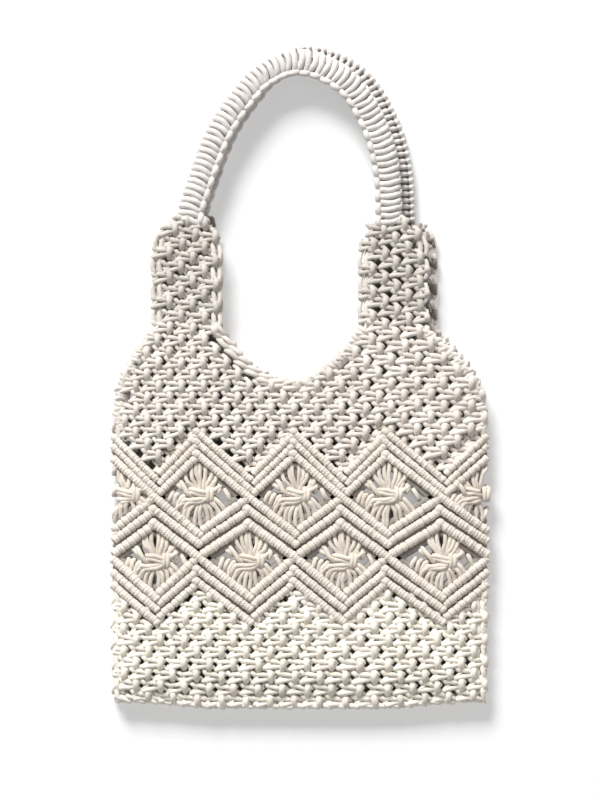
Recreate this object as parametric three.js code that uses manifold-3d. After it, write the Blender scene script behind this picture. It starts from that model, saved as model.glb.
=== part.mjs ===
// A macrame shoulder bag, laid flat on its back. Two knotted cotton panels are laced together along
// the sides and the bottom, and each panel's two shoulders narrow into a knotted handle.
// Millimetres. X runs across the bag, Y from the bottom seam to the handles, Z up from the surface
// that the bag lies on. The sizes below measure Y from the bottom seam. The finished bag is shifted
// so that the origin is under the middle of its bounds.
import * as THREE from "three";
import { mergeVertices } from "three/addons/utils/BufferGeometryUtils.js";
import Module from "manifold-3d";

const wasm = await Module();
wasm.setup();

// Cord and panels
const clearance = 0.3;
const cordDiameter = 4.6;
const panelThickness = 10;
const handRoom = 8.6;
const pinchReach = 34;

// Body of the bag
const bagWidth = 350;
const lacingBulge = 3;
const cornerRadius = 11;
const hipRise = 18.4;
const slopeTurn = 0.466;
const neckHeight = 298;
const neckDepth = 48;
const neckFullness = 0.5;

// Shoulders
const shoulderBase = 345;
const shoulderTop = 450;
const shoulderWidth = 61;
const shoulderTopWidth = 34;
const shoulderRound = 42;

// Zigzag bands, of three ribs each, between the two nets
const ribsPerBand = 3;
const ribWidth = 9.7;
const ribGroove = 2.2;
const zigzagPeriods = 4;
const zigzagRise = 32;
const bands = {
  top: { height: 222, peakAtMiddle: true },
  middle: { height: 161.5, peakAtMiddle: false },
  bottom: { height: 104.5, peakAtMiddle: true },
};

// Gathered bows in the diamonds between the bands
const bowKnotWidth = 19;
const bowKnotHeight = 13;
const bowStrands = 4;
const bowSpread = 0.62;
const bowGather = 0.2;
const halfBowInset = 16;

// Gaps of the nets
const knotsAcross = 16;
const knotRow = 10.8;
const gapWidth = 4.4;
const gapHeight = 5.4;
const gapColumnsApart = 2;
const gapRowsApart = 3;
const gapRim = 9;

// Handles
const handleWidth = 23;
const handleThickness = 14;
const handleKnot = 12;
const handleGroove = 1.2;

// Lacing cord around the seams
const lacingLoop = 23;
const bottomLoop = 20;
const lacingHollow = 1.2;
const lacingStop = 16;

// Middles of the front panel's shoulders and of its handle's ends, and the height of its handle
const frontLeftShoulder = -108;
const frontRightShoulder = 83;
const frontLeftFoot = -100.5;
const frontRightFoot = 81.5;
const frontHandleRise = 139.7;

// The same of the back panel, which lies a little to the right
const backLeftShoulder = -101;
const backRightShoulder = 98;
const backLeftFoot = -97;
const backRightFoot = 93.5;
const backHandleRise = 145.2;

const panels = [
  {
    name: "back",
    level: 0,
    shoulders: [backLeftShoulder, backRightShoulder],
    feet: [backLeftFoot, backRightFoot],
    rise: backHandleRise,
  },
  {
    name: "front",
    level: 1,
    shoulders: [frontLeftShoulder, frontRightShoulder],
    feet: [frontLeftFoot, frontRightFoot],
    rise: frontHandleRise,
  },
];

// The middle line of a handle, as shares of the way across between its feet and up to its crown
const handleArch = [
  { across: 0, up: 0 },
  { across: 0.006, up: 0.06 },
  { across: 0.068, up: 0.3 },
  { across: 0.138, up: 0.53 },
  { across: 0.225, up: 0.71 },
  { across: 0.353, up: 0.905 },
  { across: 0.524, up: 1 },
  { across: 0.7, up: 0.945 },
  { across: 0.83, up: 0.81 },
  { across: 0.93, up: 0.58 },
  { across: 0.985, up: 0.33 },
  { across: 1, up: 0.06 },
  { across: 1, up: 0 },
];

const panelHalf = bagWidth / 2 - lacingBulge - clearance;
const panelBottom = lacingBulge + clearance;
const zigzagPeriod = bagWidth / zigzagPeriods;
const zigzagSlope = zigzagRise / (zigzagPeriod / 2);
const ribHeight = ribWidth * Math.hypot(1, zigzagSlope);
const bandHalf = (ribsPerBand * ribHeight) / 2;
const knotPitch = bagWidth / knotsAcross;
const bagThickness = 2 * panelThickness + handRoom;
const hipHeight = topEdge(bands.top, panelHalf) + hipRise;
const slopeCorner = THREE.MathUtils.lerp(hipHeight, shoulderBase, slopeTurn);
const neckTop = neckHeight + neckDepth;
const lacingTop = hipHeight - lacingStop;

const cotton = new THREE.MeshStandardMaterial({ color: 0xe6dccb, roughness: 0.95, metalness: 0 });
const ribCotton = new THREE.MeshStandardMaterial({ color: 0xece3d3, roughness: 0.93, metalness: 0 });
const bowCotton = new THREE.MeshStandardMaterial({ color: 0xe3d7c2, roughness: 0.95, metalness: 0 });
const handleCotton = new THREE.MeshStandardMaterial({ color: 0xded4c8, roughness: 0.95, metalness: 0 });

const bag = new THREE.Group();
const laidOut = new THREE.Group();
bag.add(laidOut);

function addPiece(name, geometry, material) {
  geometry.computeVertexNormals();
  const mesh = new THREE.Mesh(geometry, material);
  mesh.name = name;
  laidOut.add(mesh);
}

// Booleans

function solidOf(geometry) {
  const bare = new THREE.BufferGeometry();
  bare.setAttribute("position", geometry.getAttribute("position"));
  bare.setIndex(geometry.index);
  const merged = mergeVertices(bare, 1e-4);
  return new wasm.Manifold(
    new wasm.Mesh({
      numProp: 3,
      vertProperties: merged.attributes.position.array,
      triVerts: new Uint32Array(merged.index.array),
    }),
  );
}

function geometryOf(solid) {
  const mesh = solid.getMesh();
  const geometry = new THREE.BufferGeometry();
  geometry.setAttribute("position", new THREE.BufferAttribute(mesh.vertProperties, 3));
  geometry.setIndex(new THREE.BufferAttribute(mesh.triVerts, 1));
  return geometry;
}

// A prism through the whole bag with this outline.
function throughPrism(shape) {
  const prism = new THREE.ExtrudeGeometry(shape, {
    depth: 2 * bagThickness,
    bevelEnabled: false,
    curveSegments: 6,
  });
  return prism.translate(0, 0, -bagThickness / 2);
}

// Skins a row of rings, each a list of [x, y, z] that runs counterclockwise seen from the next ring.
function skin(rings) {
  const sides = rings[0].length;
  const vertices = rings.flat(2);
  const faces = [];
  for (let k = 0; k + 1 < rings.length; k++) {
    for (let i = 0; i < sides; i++) {
      const next = (i + 1) % sides;
      const near = k * sides + i;
      const nearNext = k * sides + next;
      faces.push(near, nearNext, near + sides);
      faces.push(nearNext, nearNext + sides, near + sides);
    }
  }
  closeEnd(vertices, faces, 0, sides, true);
  closeEnd(vertices, faces, (rings.length - 1) * sides, sides, false);
  const geometry = new THREE.BufferGeometry();
  geometry.setAttribute("position", new THREE.Float32BufferAttribute(vertices, 3));
  geometry.setIndex(faces);
  return geometry;
}

// Closes the ring that starts at vertex `first` with a fan around its middle.
function closeEnd(vertices, faces, first, sides, facesBack) {
  const middle = [0, 0, 0];
  for (let i = 0; i < sides * 3; i++) {
    middle[i % 3] += vertices[first * 3 + i] / sides;
  }
  const hub = vertices.length / 3;
  vertices.push(...middle);
  for (let i = 0; i < sides; i++) {
    const here = first + i;
    const next = first + ((i + 1) % sides);
    faces.push(hub, facesBack ? next : here, facesBack ? here : next);
  }
}

// Sweeps sections through stations that lie in a level plane. Each station has a place, a heading,
// and a ring of { side, z } where side is to the left of the heading.
function sweep(stations) {
  return skin(
    stations.map(({ x, y, heading, ring }) =>
      ring.map(({ side, z }) => [x - heading.y * side, y + heading.x * side, z]),
    ),
  );
}

// The front panel lies on the back panel along the seams and stands clear of it further in

function easeUp(share) {
  return Math.sin((Math.min(Math.max(share, 0), 1) * Math.PI) / 2);
}

function liftAt(panel, x, y) {
  const seamZ = panelThickness + clearance;
  const openZ = panelThickness + handRoom;
  const seamed = 1 - easeUp((y - hipHeight) / (shoulderBase - hipHeight));
  const side = 1 - seamed * (1 - easeUp((panelHalf - Math.abs(x)) / pinchReach));
  const bottom = easeUp((y - panelBottom) / pinchReach);
  return panel.level * (seamZ + (openZ - seamZ) * side * bottom);
}

function raise(panel, geometry) {
  const place = geometry.getAttribute("position");
  for (let i = 0; i < place.count; i++) {
    place.setZ(i, place.getZ(i) + liftAt(panel, place.getX(i), place.getY(i)));
  }
  return geometry;
}

// Lines where the front panel bends, measured in from an edge.
function pinchLines() {
  return [0, pinchReach / 2, pinchReach];
}

// A sheet as thick as a panel over the whole bag, bent as the panel is.
function bentSheet(panel) {
  const margin = clearance * 4;
  const edges = pinchLines().map((inward) => panelHalf - inward);
  const columns = [-panelHalf - margin, ...edges.map((x) => -x), ...edges.reverse(), panelHalf + margin];
  const rows = [
    panelBottom - margin,
    ...pinchLines().map((inward) => panelBottom + inward),
    hipHeight,
    (hipHeight + shoulderBase) / 2,
    shoulderBase,
    shoulderTop + margin,
  ];
  const corners = [0, panelThickness].map((z) =>
    columns.map((x) => rows.map((y) => [x, y, z + liftAt(panel, x, y)])),
  );
  const geometry = new THREE.BufferGeometry();
  const vertices = corners.flat(3);
  const at = (layer, i, j) => (layer * columns.length + i) * rows.length + j;
  const faces = [];
  const quad = (a, b, c, d) => faces.push(a, b, c, a, c, d);
  for (let i = 0; i + 1 < columns.length; i++) {
    for (let j = 0; j + 1 < rows.length; j++) {
      quad(at(1, i, j), at(1, i + 1, j), at(1, i + 1, j + 1), at(1, i, j + 1));
      quad(at(0, i, j), at(0, i, j + 1), at(0, i + 1, j + 1), at(0, i + 1, j));
    }
  }
  const lastColumn = columns.length - 1;
  const lastRow = rows.length - 1;
  for (let i = 0; i < lastColumn; i++) {
    quad(at(0, i, 0), at(0, i + 1, 0), at(1, i + 1, 0), at(1, i, 0));
    quad(at(0, i + 1, lastRow), at(0, i, lastRow), at(1, i, lastRow), at(1, i + 1, lastRow));
  }
  for (let j = 0; j < lastRow; j++) {
    quad(at(0, 0, j + 1), at(0, 0, j), at(1, 0, j), at(1, 0, j + 1));
    quad(at(0, lastColumn, j), at(0, lastColumn, j + 1), at(1, lastColumn, j + 1), at(1, lastColumn, j));
  }
  geometry.setAttribute("position", new THREE.Float32BufferAttribute(vertices, 3));
  geometry.setIndex(faces);
  return solidOf(geometry);
}

// Zigzag bands

// Height of a band's middle line.
function bandLine(band, x) {
  const turn = x / zigzagPeriod + (band.peakAtMiddle ? 0 : 0.5);
  const fromPeak = 2 * Math.abs(turn - Math.round(turn));
  return band.height + zigzagRise * (0.5 - fromPeak);
}

function topEdge(band, x) {
  return bandLine(band, x) + bandHalf;
}

function lowEdge(band, x) {
  return bandLine(band, x) - bandHalf;
}

// Where the bands turn, from the left edge to the right edge, with both edges.
function turnsAcross() {
  const turns = [];
  const half = zigzagPeriod / 2;
  for (let k = Math.ceil(-panelHalf / half); k * half < panelHalf; k++) {
    turns.push(k * half);
  }
  return [-panelHalf, ...turns, panelHalf];
}

// A band's section: its ribs stand out on the face that shows, with a groove between them.
function bandRing(panel) {
  const ribbed = [{ side: bandHalf, z: panelThickness - ribGroove }];
  for (let rib = 0; rib < ribsPerBand; rib++) {
    const start = bandHalf - rib * ribHeight;
    ribbed.push({ side: start - ribHeight * 0.3, z: panelThickness });
    ribbed.push({ side: start - ribHeight * 0.7, z: panelThickness });
    ribbed.push({ side: start - ribHeight, z: panelThickness - ribGroove });
  }
  const ring = [...ribbed, { side: -bandHalf, z: 0 }, { side: bandHalf, z: 0 }];
  return panel.level > 0 ? ring : ring.map(({ side, z }) => ({ side, z: panelThickness - z })).reverse();
}

function bandOutline(band) {
  const turns = turnsAcross();
  const shape = new THREE.Shape(turns.map((x) => new THREE.Vector2(x, lowEdge(band, x))));
  for (const x of turns.reverse()) {
    shape.lineTo(x, topEdge(band, x));
  }
  return shape;
}

// A band, cut clear of the band above it where their ribs meet.
function zigzagBand(panel, band, bandAbove) {
  const folds = pinchLines().map((inward) => panelHalf - inward);
  const places = [...turnsAcross(), ...folds, ...folds.map((x) => -x)].sort((a, b) => a - b);
  const stations = places
    .filter((x, i) => i === 0 || x - places[i - 1] > clearance)
    .map((x) => ({ x, y: bandLine(band, x), heading: { x: 1, y: 0 }, ring: bandRing(panel) }));
  const ribs = raise(panel, sweep(stations));
  if (!bandAbove) {
    return ribs;
  }
  const above = throughPrism(bandOutline(bandAbove)).translate(0, -clearance / Math.cos(Math.atan(zigzagSlope)), 0);
  return geometryOf(solidOf(ribs).subtract(solidOf(above)));
}

// Nets

// Diamond gaps between the knots of a net, kept clear of its outline.
function netGaps(shape) {
  const outline = shape.getPoints(6);
  const reach = outline.reduce((box, p) => box.expandByPoint(p), new THREE.Box2());
  const columnStep = gapColumnsApart * knotPitch;
  const rowStep = gapRowsApart * knotRow;
  const gaps = [];
  for (let row = Math.ceil(reach.min.y / rowStep); row * rowStep < reach.max.y; row++) {
    const shift = (row % 2) / 2;
    for (let column = Math.floor(reach.min.x / columnStep); column * columnStep < reach.max.x; column++) {
      const x = (column + shift) * columnStep;
      const y = row * rowStep;
      if (isInside(outline, x, y)) {
        gaps.push(
          new THREE.Path([
            new THREE.Vector2(x - gapWidth / 2, y),
            new THREE.Vector2(x, y - gapHeight / 2),
            new THREE.Vector2(x + gapWidth / 2, y),
            new THREE.Vector2(x, y + gapHeight / 2),
          ]),
        );
      }
    }
  }
  return gaps;
}

// Whether a place and the rim around it lie inside a closed outline.
function isInside(outline, x, y) {
  const rim = [
    [0, 0],
    [-gapRim, 0],
    [gapRim, 0],
    [0, -gapRim],
    [0, gapRim],
  ];
  return rim.every(([dx, dy]) => {
    let crossings = 0;
    outline.forEach((a, i) => {
      const b = outline[(i + 1) % outline.length];
      const spans = a.y > y + dy !== b.y > y + dy;
      if (spans && x + dx < a.x + ((y + dy - a.y) / (b.y - a.y)) * (b.x - a.x)) {
        crossings += 1;
      }
    });
    return crossings % 2 === 1;
  });
}

function lowerNetShape() {
  const shape = new THREE.Shape();
  const turns = turnsAcross().reverse();
  shape.moveTo(-panelHalf, panelBottom + cornerRadius);
  shape.absarc(
    -panelHalf + cornerRadius,
    panelBottom + cornerRadius,
    cornerRadius,
    Math.PI,
    1.5 * Math.PI,
    false,
  );
  shape.lineTo(panelHalf - cornerRadius, panelBottom);
  shape.absarc(
    panelHalf - cornerRadius,
    panelBottom + cornerRadius,
    cornerRadius,
    1.5 * Math.PI,
    2 * Math.PI,
    false,
  );
  for (const x of turns) {
    shape.lineTo(x, lowEdge(bands.bottom, x) - clearance);
  }
  return shape;
}

// One shoulder, drawn up one side, across its top and down the other, from `from` to `to`.
function drawShoulder(shape, middle, foot, from, to) {
  const outward = from < to ? -1 : 1;
  const half = outward * (shoulderWidth / 2);
  const topHalf = outward * (shoulderTopWidth / 2);
  shape.lineTo(middle + half, shoulderTop - shoulderRound);
  shape.quadraticCurveTo(middle + half, shoulderTop - shoulderRound / 3, foot + topHalf, shoulderTop);
  shape.lineTo(foot - topHalf, shoulderTop);
  shape.quadraticCurveTo(
    middle - half,
    shoulderTop - shoulderRound / 3,
    middle - half,
    shoulderTop - shoulderRound,
  );
}

function upperNetShape(panel) {
  const [left, right] = panel.shoulders;
  const [leftFoot, rightFoot] = panel.feet;
  const half = shoulderWidth / 2;
  const neckMiddle = (left + right) / 2;
  const neckHalf = (right - left) / 2 - half;
  const shape = new THREE.Shape();
  shape.moveTo(-panelHalf, topEdge(bands.top, -panelHalf) + clearance);
  shape.lineTo(-panelHalf, hipHeight);
  shape.quadraticCurveTo(-panelHalf, slopeCorner, left - half, shoulderBase);
  drawShoulder(shape, left, leftFoot, left - half, left + half);
  shape.lineTo(left + half, neckTop);
  shape.quadraticCurveTo(neckMiddle - neckFullness * neckHalf, neckHeight, neckMiddle, neckHeight);
  shape.quadraticCurveTo(neckMiddle + neckFullness * neckHalf, neckHeight, right - half, neckTop);
  drawShoulder(shape, right, rightFoot, right - half, right + half);
  shape.lineTo(right + half, shoulderBase);
  shape.quadraticCurveTo(panelHalf, slopeCorner, panelHalf, hipHeight);
  for (const x of turnsAcross().reverse()) {
    shape.lineTo(x, topEdge(bands.top, x) + clearance);
  }
  return shape;
}

function net(sheet, shape) {
  shape.holes = netGaps(shape);
  return geometryOf(sheet.intersect(solidOf(throughPrism(shape))));
}

// Bows

// One fan of strands between the bow's knot and the rib at `edge`, ridged along each strand.
function bowFan(knot, spread, edge) {
  const middle = panelThickness / 2;
  const rings = [];
  for (let step = 0; step <= 2 * bowStrands; step++) {
    const x = THREE.MathUtils.lerp(spread.from, spread.to, step / (2 * bowStrands));
    const away = Math.sign(edge(x) - knot.y);
    const thin = step % 2 === 0 ? 2 : 1;
    const ends = [
      { x: knot.x + (x - knot.x) * bowGather, y: knot.y + (away * bowKnotHeight) / 6, half: cordDiameter / 2 },
      { x, y: edge(x), half: cordDiameter / 2 / thin },
    ];
    const [low, high] = away > 0 ? ends : ends.reverse();
    rings.push([
      [low.x, low.y, middle - low.half],
      [high.x, high.y, middle - high.half],
      [high.x, high.y, middle + high.half],
      [low.x, low.y, middle + low.half],
    ]);
  }
  return skin(rings);
}

// A bow fills the diamond around `middle`: two fans gathered by one square knot. At the edges of
// the bag it has only its inner half.
function bow(panel, bandAbove, bandBelow, middle) {
  const reach = bowSpread * (zigzagPeriod / 2);
  const rim = panelHalf - clearance;
  const spread = { from: Math.max(middle - reach, -rim), to: Math.min(middle + reach, rim) };
  const isHalf = Math.abs(middle) > panelHalf;
  const knot = {
    x: isHalf ? Math.sign(middle) * (Math.abs(middle) - halfBowInset) : middle,
    y: (lowEdge(bandAbove, middle) + topEdge(bandBelow, middle)) / 2,
  };
  const upperFan = bowFan(knot, spread, (x) => lowEdge(bandAbove, x) - clearance);
  const lowerFan = bowFan(knot, spread, (x) => topEdge(bandBelow, x) + clearance);
  const lump = new THREE.SphereGeometry(1, 6, 4)
    .scale(bowKnotWidth / 2, bowKnotHeight / 2, panelThickness / 2)
    .translate(knot.x, knot.y, panelThickness / 2);
  const [first, ...others] = [upperFan, lowerFan, lump].map((piece) => solidOf(raise(panel, piece)));
  return geometryOf(others.reduce((whole, piece) => whole.add(piece), first));
}

// Middles of the diamonds below a band, which lie under its peaks.
function peaksOf(band) {
  const start = band.peakAtMiddle ? 0 : 0.5;
  const most = Math.ceil(zigzagPeriods / 2);
  const peaks = [];
  for (let k = -most; k <= most; k++) {
    const x = (k + start) * zigzagPeriod;
    if (Math.abs(x) <= bagWidth / 2) {
      peaks.push(x);
    }
  }
  return peaks;
}

// Handles

function handle(panel) {
  const [left, right] = panel.feet;
  const foot = shoulderTop + clearance;
  const base = panel.level * (handleThickness + clearance);
  const line = new THREE.CatmullRomCurve3(
    handleArch.map(
      ({ across, up }) =>
        new THREE.Vector3(left + across * (right - left), foot + up * panel.rise, 0),
    ),
  );
  const knots = Math.round(line.getLength() / handleKnot);
  const stations = [];
  for (let step = 0; step <= 2 * knots; step++) {
    const at = line.getPointAt(step / (2 * knots));
    const isEnd = step === 0 || step === 2 * knots;
    const along = line.getTangentAt(step / (2 * knots));
    const heading = isEnd ? { x: 0, y: Math.sign(along.y) } : along;
    const thin = step % 2 === 0 ? handleGroove : 0;
    stations.push({ x: at.x, y: at.y, heading, ring: handleRing(base, thin) });
  }
  return sweep(stations);
}

// The section of a handle with flat faces and rounded sides, thinned by `thin` all round its front.
function handleRing(base, thin) {
  const wide = handleWidth / 2 - thin;
  const face = handleWidth / 3 - thin;
  return [
    { side: wide, z: base + handleThickness / 2 },
    { side: face, z: base + handleThickness - thin },
    { side: -face, z: base + handleThickness - thin },
    { side: -wide, z: base + handleThickness / 2 },
    { side: -face, z: base },
    { side: face, z: base },
  ];
}

// Lacing

// A strip of lacing loops outside a seam, from `start` to `end`, both { x, y }, bulging out between
// its stitches. The bag lies to the left of it.
function lacing(start, end, loop) {
  const length = Math.hypot(end.x - start.x, end.y - start.y);
  const heading = { x: (end.x - start.x) / length, y: (end.y - start.y) / length };
  const loops = Math.round(length / loop);
  const height = 2 * panelThickness + clearance;
  const stations = [];
  for (let step = 0; step <= 2 * loops; step++) {
    const share = step / (2 * loops);
    const bulge = step % 2 === 1 ? lacingBulge : lacingBulge - lacingHollow;
    stations.push({
      x: start.x + (end.x - start.x) * share,
      y: start.y + (end.y - start.y) * share,
      heading,
      ring: [
        { side: 0, z: height },
        { side: -bulge, z: height * 0.75 },
        { side: -bulge, z: height * 0.25 },
        { side: 0, z: 0 },
      ],
    });
  }
  return sweep(stations);
}

for (const panel of panels) {
  const sheet = bentSheet(panel);
  addPiece(`${panel.name}_upper_net`, net(sheet, upperNetShape(panel)), cotton);
  addPiece(`${panel.name}_lower_net`, net(sheet, lowerNetShape()), cotton);
  addPiece(`${panel.name}_zigzag_top`, zigzagBand(panel, bands.top), ribCotton);
  addPiece(`${panel.name}_zigzag_middle`, zigzagBand(panel, bands.middle, bands.top), ribCotton);
  addPiece(`${panel.name}_zigzag_bottom`, zigzagBand(panel, bands.bottom, bands.middle), ribCotton);
  const diamonds = [
    ...peaksOf(bands.top).map((x) => [bands.top, bands.middle, x]),
    ...peaksOf(bands.middle).map((x) => [bands.middle, bands.bottom, x]),
  ];
  diamonds.forEach(([above, below, x], i) => {
    addPiece(`${panel.name}_bow_${i + 1}`, bow(panel, above, below, x), bowCotton);
  });
  addPiece(`${panel.name}_handle`, handle(panel), handleCotton);
}

const seamX = panelHalf + clearance;
const seamStart = panelBottom + cornerRadius;
addPiece("side_lacing_left", lacing({ x: -seamX, y: lacingTop }, { x: -seamX, y: seamStart }, lacingLoop), cotton);
addPiece("side_lacing_right", lacing({ x: seamX, y: seamStart }, { x: seamX, y: lacingTop }, lacingLoop), cotton);
addPiece(
  "bottom_lacing",
  lacing(
    { x: cornerRadius - panelHalf, y: lacingBulge },
    { x: panelHalf - cornerRadius, y: lacingBulge },
    bottomLoop,
  ),
  cotton,
);

const middle = new THREE.Box3().setFromObject(laidOut).getCenter(new THREE.Vector3());
laidOut.position.set(-middle.x, -middle.y, 0);

export default bag;
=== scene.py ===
"""A macrame shoulder bag, laid flat on its back, dressed in knotted cotton cord.

Lengths are in millimetres in the bag's own layout, where X runs across the bag, Y up from the bottom
seam and Z out of the front panel. A panel is built as it looks from outside, as u, v and w: u across
it, v up it and w out of it. place() turns a layout point into the frame's metres.
"""

import math

import bpy
import numpy as np
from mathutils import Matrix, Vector


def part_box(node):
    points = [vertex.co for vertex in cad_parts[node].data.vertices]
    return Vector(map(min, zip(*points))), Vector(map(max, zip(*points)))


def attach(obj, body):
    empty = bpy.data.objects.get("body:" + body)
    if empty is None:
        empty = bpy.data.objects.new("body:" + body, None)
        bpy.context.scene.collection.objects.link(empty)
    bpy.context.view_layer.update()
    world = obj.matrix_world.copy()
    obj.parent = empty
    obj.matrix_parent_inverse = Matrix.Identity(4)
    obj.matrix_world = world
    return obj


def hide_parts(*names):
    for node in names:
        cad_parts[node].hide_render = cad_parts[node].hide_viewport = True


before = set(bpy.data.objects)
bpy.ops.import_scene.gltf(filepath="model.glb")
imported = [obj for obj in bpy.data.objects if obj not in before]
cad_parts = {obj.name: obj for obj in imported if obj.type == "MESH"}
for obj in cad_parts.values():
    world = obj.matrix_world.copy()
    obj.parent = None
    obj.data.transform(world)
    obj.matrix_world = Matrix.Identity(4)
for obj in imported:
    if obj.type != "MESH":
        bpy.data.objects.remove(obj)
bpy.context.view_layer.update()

rng = np.random.default_rng(7)

# Sizes that the CAD also has
CLEARANCE = 0.3
PANEL = 10.0
HAND_ROOM = 8.6
PINCH_REACH = 34.0
BAG_WIDTH = 350.0
LACING_BULGE = 3.0
CORNER_RADIUS = 11.0
HIP_HEIGHT = 272.0
SLOPE_CORNER = 306.0
NECK_HEIGHT = 298.0
NECK_TOP = 346.0
NECK_FULLNESS = 0.5
SHOULDER_BASE = 345.0
SHOULDER_TOP = 450.0
SHOULDER_TOP_WIDTH = 34.0
SHOULDER_ROUND = 42.0
RIBS_PER_BAND = 3
HANDLE_THICKNESS = 14.0
HANDLE_ARCH = [
    (0, 0), (0.006, 0.06), (0.068, 0.3), (0.138, 0.53), (0.225, 0.71), (0.353, 0.905), (0.524, 1),
    (0.7, 0.945), (0.83, 0.81), (0.93, 0.58), (0.985, 0.33), (1, 0.06), (1, 0),
]
PANELS = {
    "back": {"level": 0, "shoulders": (-101.0, 98.0), "feet": (-97.0, 93.5), "crown": 595.2},
    "front": {"level": 1, "shoulders": (-108.0, 83.0), "feet": (-100.5, 81.5), "crown": 589.7},
}

PANEL_HALF = BAG_WIDTH / 2 - LACING_BULGE - CLEARANCE
PANEL_BOTTOM = LACING_BULGE + CLEARANCE

# The cord, and the flat cords deep in the bag that close it from behind, darkened with painted shade where
# shadow falls deep in the bag
CORD = 4.65
DEEP_SHADE = 0.42
DEEP_LEVEL = 3.0
DEEP_RADIUS = 3.2
DEEP_FLATNESS = 0.7

# Rows of knots, by the height of their middles
ROW_PITCH = 10.54
SHOULDER_ROW = 11.0
TOP_BODY_ROW = 344.5
LOWEST_ROW = 7.3
LOWER_ROW_PITCH = 10.2

# The bottom hangs lower in the middle than near its corners
BOTTOM_SAG = 6.0
SAG_REACH = 90.0
SAG_TOP = 60.0

# The rows lie higher on the right, by their height, and slope on the right shoulder
RAISE_HEIGHTS = (300.0, 340.0)
RAISES = (3.0, 7.8)
RAISE_START = 40.0
RAISE_REACH = 60.0
RIGHT_TILT = 0.11
RIGHT_TILT_START = 320.0
RIGHT_TILT_REACH = 30.0

# Columns of knots: the upper net's grow wider to the right, and the lower net has a wide stretch
FIRST_COLUMN = -11.0
UPPER_PITCH = 20.8
UPPER_WIDENING = 0.32
LOWER_PITCH = 22.5
WIDE_STRETCH = 7.0
WIDE_START = 1.5
WIDE_COLUMNS = 2.5

# The pitch that a knot is drawn for, and how much thicker the cord is where the pitch is wider
KNOT_PITCH = 21.9
CORD_GROWTH = 0.9

# The shoulders, left and right, whose columns close up towards the handle
SHOULDER_PITCH = 21.6
SHOULDER_COLUMNS = (-4.5, 4.15)
SHOULDER_WIDTH = 66.0
SHOULDER_NUDGE = (3.5, 3.0)
SHOULDER_GREY = 0.2
SHOULDER_BLEND = 3 * ROW_PITCH
CLOSING_HEIGHT = 40.0
CLOSING = 0.25
ON_SHOULDER_START = 8.0
ON_SHOULDER_REACH = 10.0
GREY_START = 10.0
GREY_REACH = 30.0

# The room that knots leave at a net's rim and at the neckline's rope, and how far they go under the ribs
EDGE_ROOM = 2.2
SHORTEST = 0.25
RIM_ROOM = 4.6
SHOULDER_RIM_ROOM = 3.8
LOWER_RIM_ROOM = 2.0
LOWER_SIDE_ROOM = 2.6
ROPE_ROOM = 11.0
UNDER_RIBS = 20.0
RIB_OVERLAP = 7.0
KNOT_SINK = 3.8
SINK_START = 9.0
SINK_REACH = 14.0

# Along the edges lie loops, ropes, each by its place inwards, pitch and thickness, and deep cords dark with
# painted shade
EDGE_OVERRUN = 4.0
LOOP_PITCH = 4.9
NECK_ROPES = [(2.6, 12.0, 1.05), (7.2, 12.5, 1.15)]
OUTER_ROPE = (4.2, 10.4, 0.95)
SIDE_ROPE = (3.4, 10.2, 0.9)
BOTTOM_PITCH = 12.4
DEEP_NECK = 6.0
DEEP_OUTER = 11.0
DEEP_SIDE = 12.0
DEEP_BOTTOM = 4.5

# The back panel has fewer faces, is pressed flatter and its net lies a little further along
BACK_DETAIL = 0.65
BACK_SQUEEZE = 0.8
BACK_SHIFT = 5.0

# How much the left shoulder's rows slope, by their height
TILT_HEIGHTS = (335.0, 345.0, 365.0, 388.0, 410.0)
TILTS = (0.0, 0.06, 0.12, 0.16, 0.19)

# Where the zigzags turn, from the left edge to the right edge, half a period after each other
TURNS = (-175.0, -133.5, -93.5, -46.9, -4.6, 38.6, 80.0, 129.7, 175.0)
TURN_COUNTS = np.arange(-4, 5) / 2

# Each band's part of a period, and the heights of its ribs' peaks and valleys from the highest rib down
PHASES = {"top": 0.0, "middle": 0.5, "bottom": 0.0}
RIB_PEAKS = {"top": (249.3, 240.0, 228.8), "middle": (190.2, 178.5, 165.6), "bottom": (135.5, 123.2, 112.0)}
RIB_VALLEYS = {"top": (208.5, 198.8, 190.2), "middle": (157.4, 148.0, 135.5), "bottom": (99.0, 88.8, 77.0)}
RIB_WIDTHS = {"top": (7.3, 7.2, 8.2), "middle": (8.6, 8.5, 9.4), "bottom": (8.8, 8.2, 8.2)}
RIB_REACH = 5.4

# The lacing's ends and stitches
SEAM_START = PANEL_BOTTOM + CORNER_RADIUS
LACING_TOP = 256.0
SIDE_LACING_PITCH = 20.4
BOTTOM_LACING_PITCH = 11.0
BOTTOM_LACING_HALF = PANEL_HALF - CORNER_RADIUS + 4.0

SEAM_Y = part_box("bottom_lacing")[0].y
MM = 0.001


# Places

def place(points):
    """Layout millimetres to the frame's metres."""
    moved = np.asarray(points, float) * MM
    moved[..., 1] += SEAM_Y
    return moved


def ease_up(share):
    return np.sin(np.clip(share, 0, 1) * math.pi / 2)


def smooth(share):
    share = np.clip(share, 0, 1)
    return share * share * (3 - 2 * share)


def lift_at(x, y):
    """How far the front panel stands above the surface."""
    seam_z = PANEL + CLEARANCE
    open_z = PANEL + HAND_ROOM
    seamed = 1 - ease_up((y - HIP_HEIGHT) / (SHOULDER_BASE - HIP_HEIGHT))
    side = 1 - seamed * (1 - ease_up((PANEL_HALF - np.abs(x)) / PINCH_REACH))
    bottom = ease_up((y - PANEL_BOTTOM) / PINCH_REACH)
    return seam_z + (open_z - seam_z) * side * bottom


def onto_panel(name, points):
    """Panel points (u, v, w) to layout points. The back panel faces down, so it is turned over."""
    u, v, w = points[..., 0], points[..., 1], points[..., 2]
    if PANELS[name]["level"]:
        return np.stack([u, v, w + lift_at(u, v)], axis=-1)
    return np.stack([-u, v, PANEL - BACK_SQUEEZE * w], axis=-1)


# Tubes

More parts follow.
